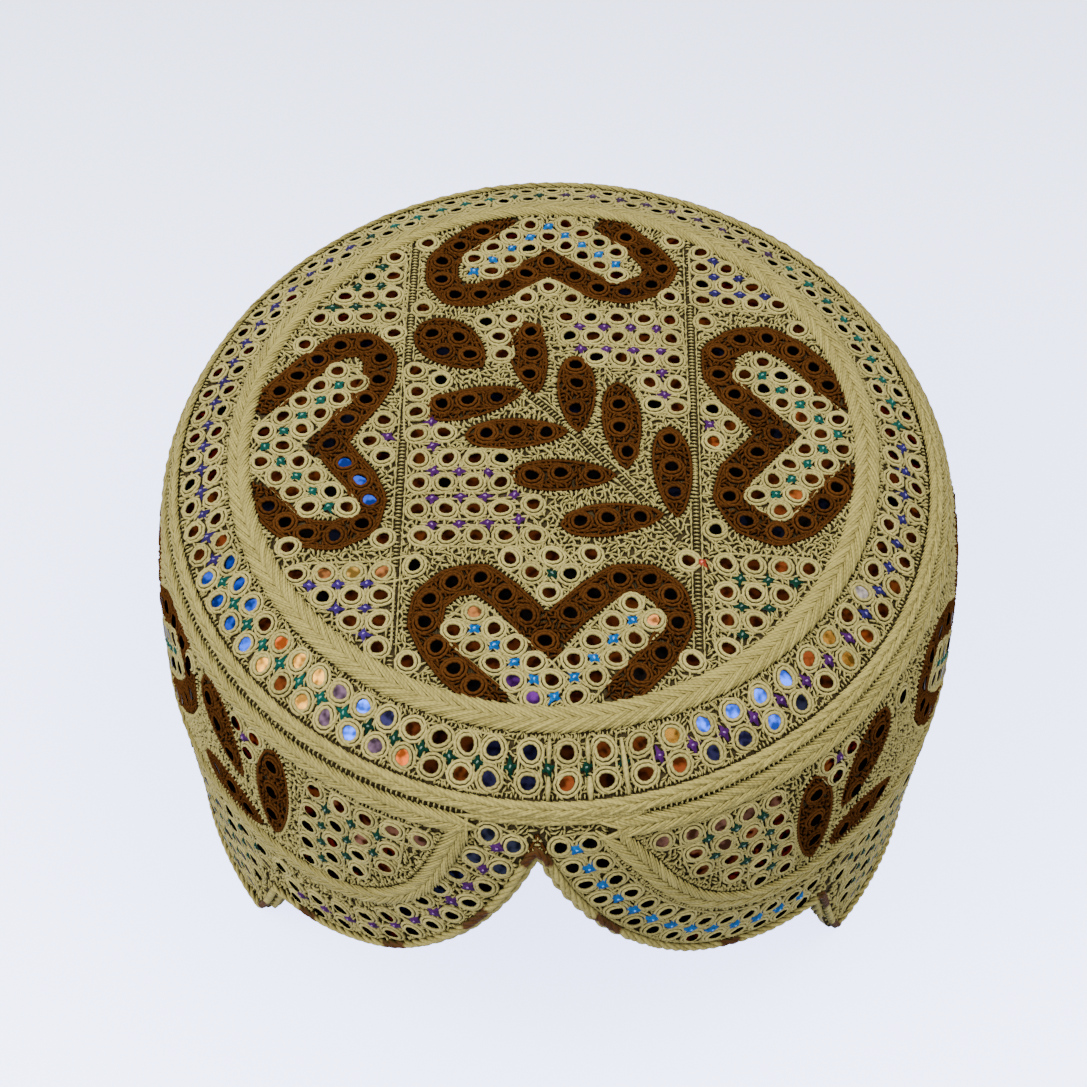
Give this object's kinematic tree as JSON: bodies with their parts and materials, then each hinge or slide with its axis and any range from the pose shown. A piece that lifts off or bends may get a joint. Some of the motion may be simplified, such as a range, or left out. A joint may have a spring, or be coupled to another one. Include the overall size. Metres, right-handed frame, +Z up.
{
  "type": "sindhi cap",
  "caption": "Round embroidered cap with a low domed crown, a stiff wall notched over the forehead, and braids along its edges.",
  "frame": {"origin": "on the surface the cap rests on, under the middle of the crown", "axes": "+Z up through the crown, -Y to the notched front, +X to the right as seen from the front"},
  "size_m": [0.1847, 0.1951, 0.109],
  "materials": {
    "embroidered_cloth": "quilted cloth covered with cream and brown thread and small round mirrors",
    "cream_braid": "plaited cotton thread"
  },
  "bodies": {
    "root": {"crown": "embroidered_cloth", "wall": "embroidered_cloth", "crown_plait": "cream_braid", "rim_cord": "cream_braid", "panel_braid": "cream_braid", "hem_cord": "cream_braid"}
  },
  "joints": []
}
